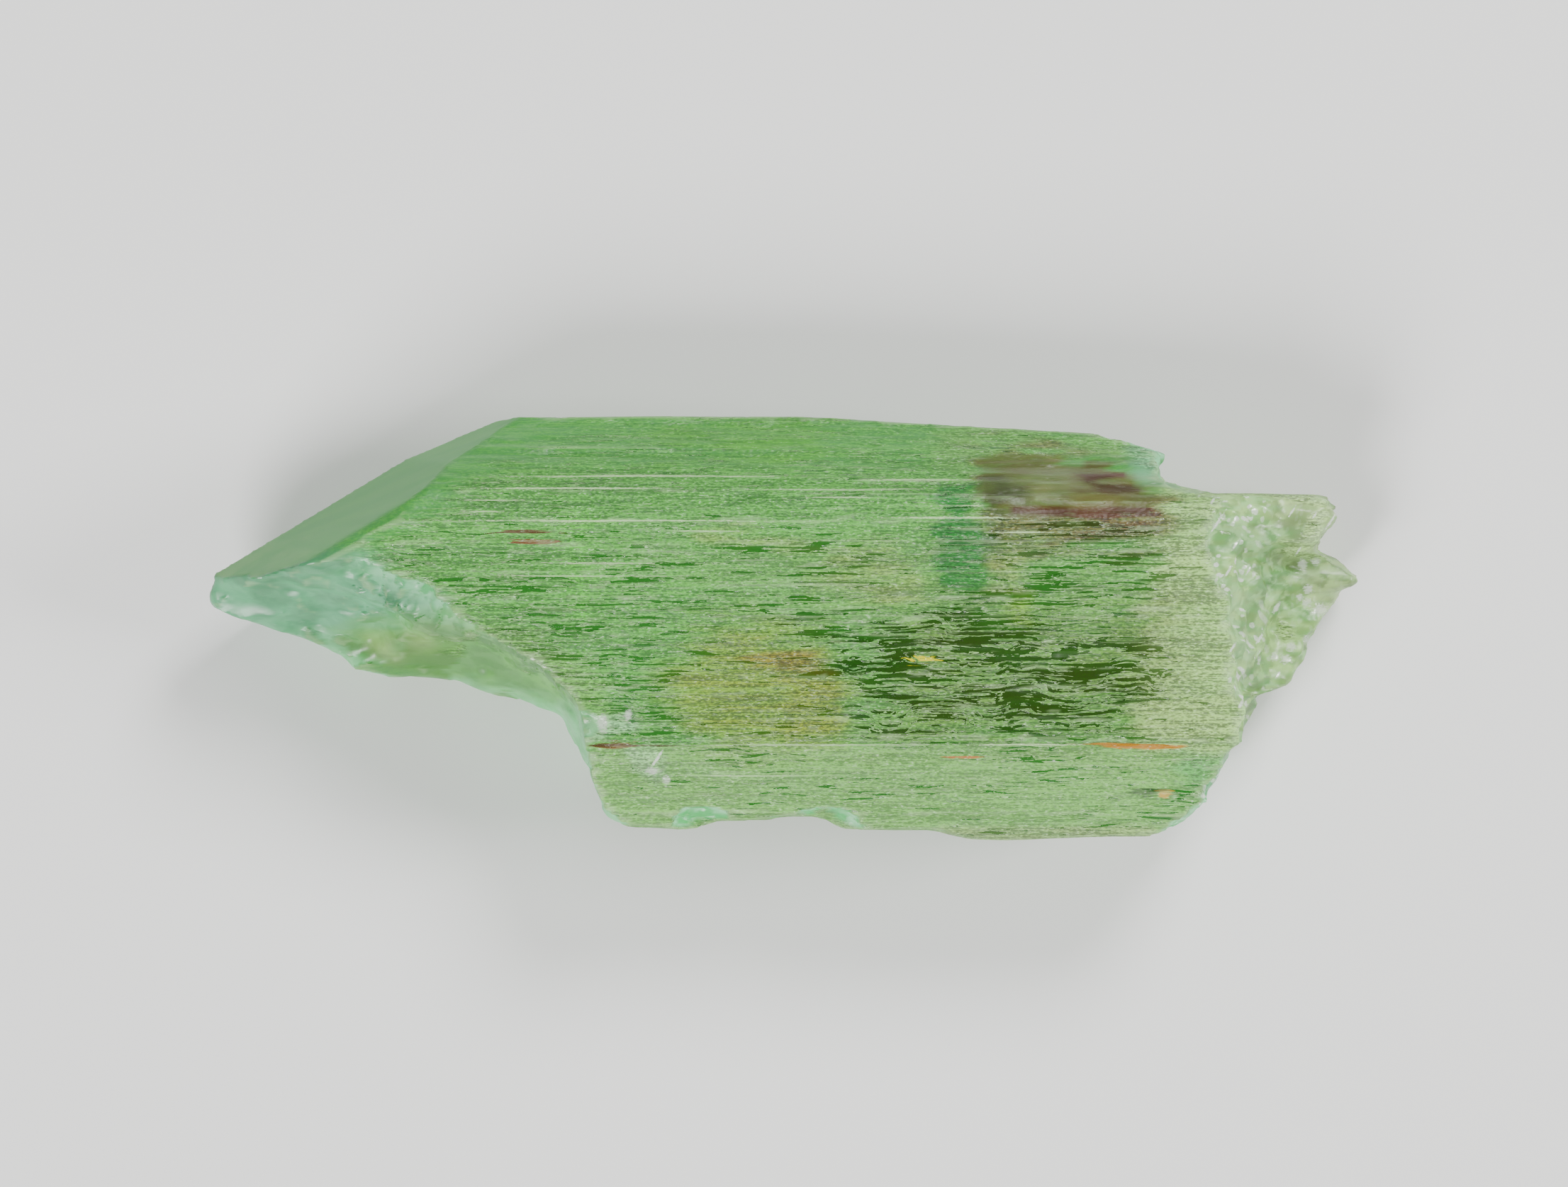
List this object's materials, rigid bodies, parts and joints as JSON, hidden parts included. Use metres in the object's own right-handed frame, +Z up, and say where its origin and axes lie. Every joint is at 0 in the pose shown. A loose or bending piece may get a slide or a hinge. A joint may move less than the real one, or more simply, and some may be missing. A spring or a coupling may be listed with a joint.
{
  "type": "hiddenite crystal",
  "caption": "Loose green hiddenite crystal: a striated flat prism, pointed at one end, with a big chip beside the point and a splintered broken end.",
  "frame": {"origin": "on the crystal's broad back face, which it rests on, under the middle of its outline", "axes": "+X along the crystal's long axis from the pointed end to the broken end, +Y towards its straight upper edge, +Z up out of the broad striated face"},
  "size_m": [0.03, 0.011, 0.0058],
  "materials": {
    "hiddenite": "natural, etched and striated, translucent green"
  },
  "bodies": {
    "root": {"hiddenite_crystal": "hiddenite"}
  },
  "joints": []
}
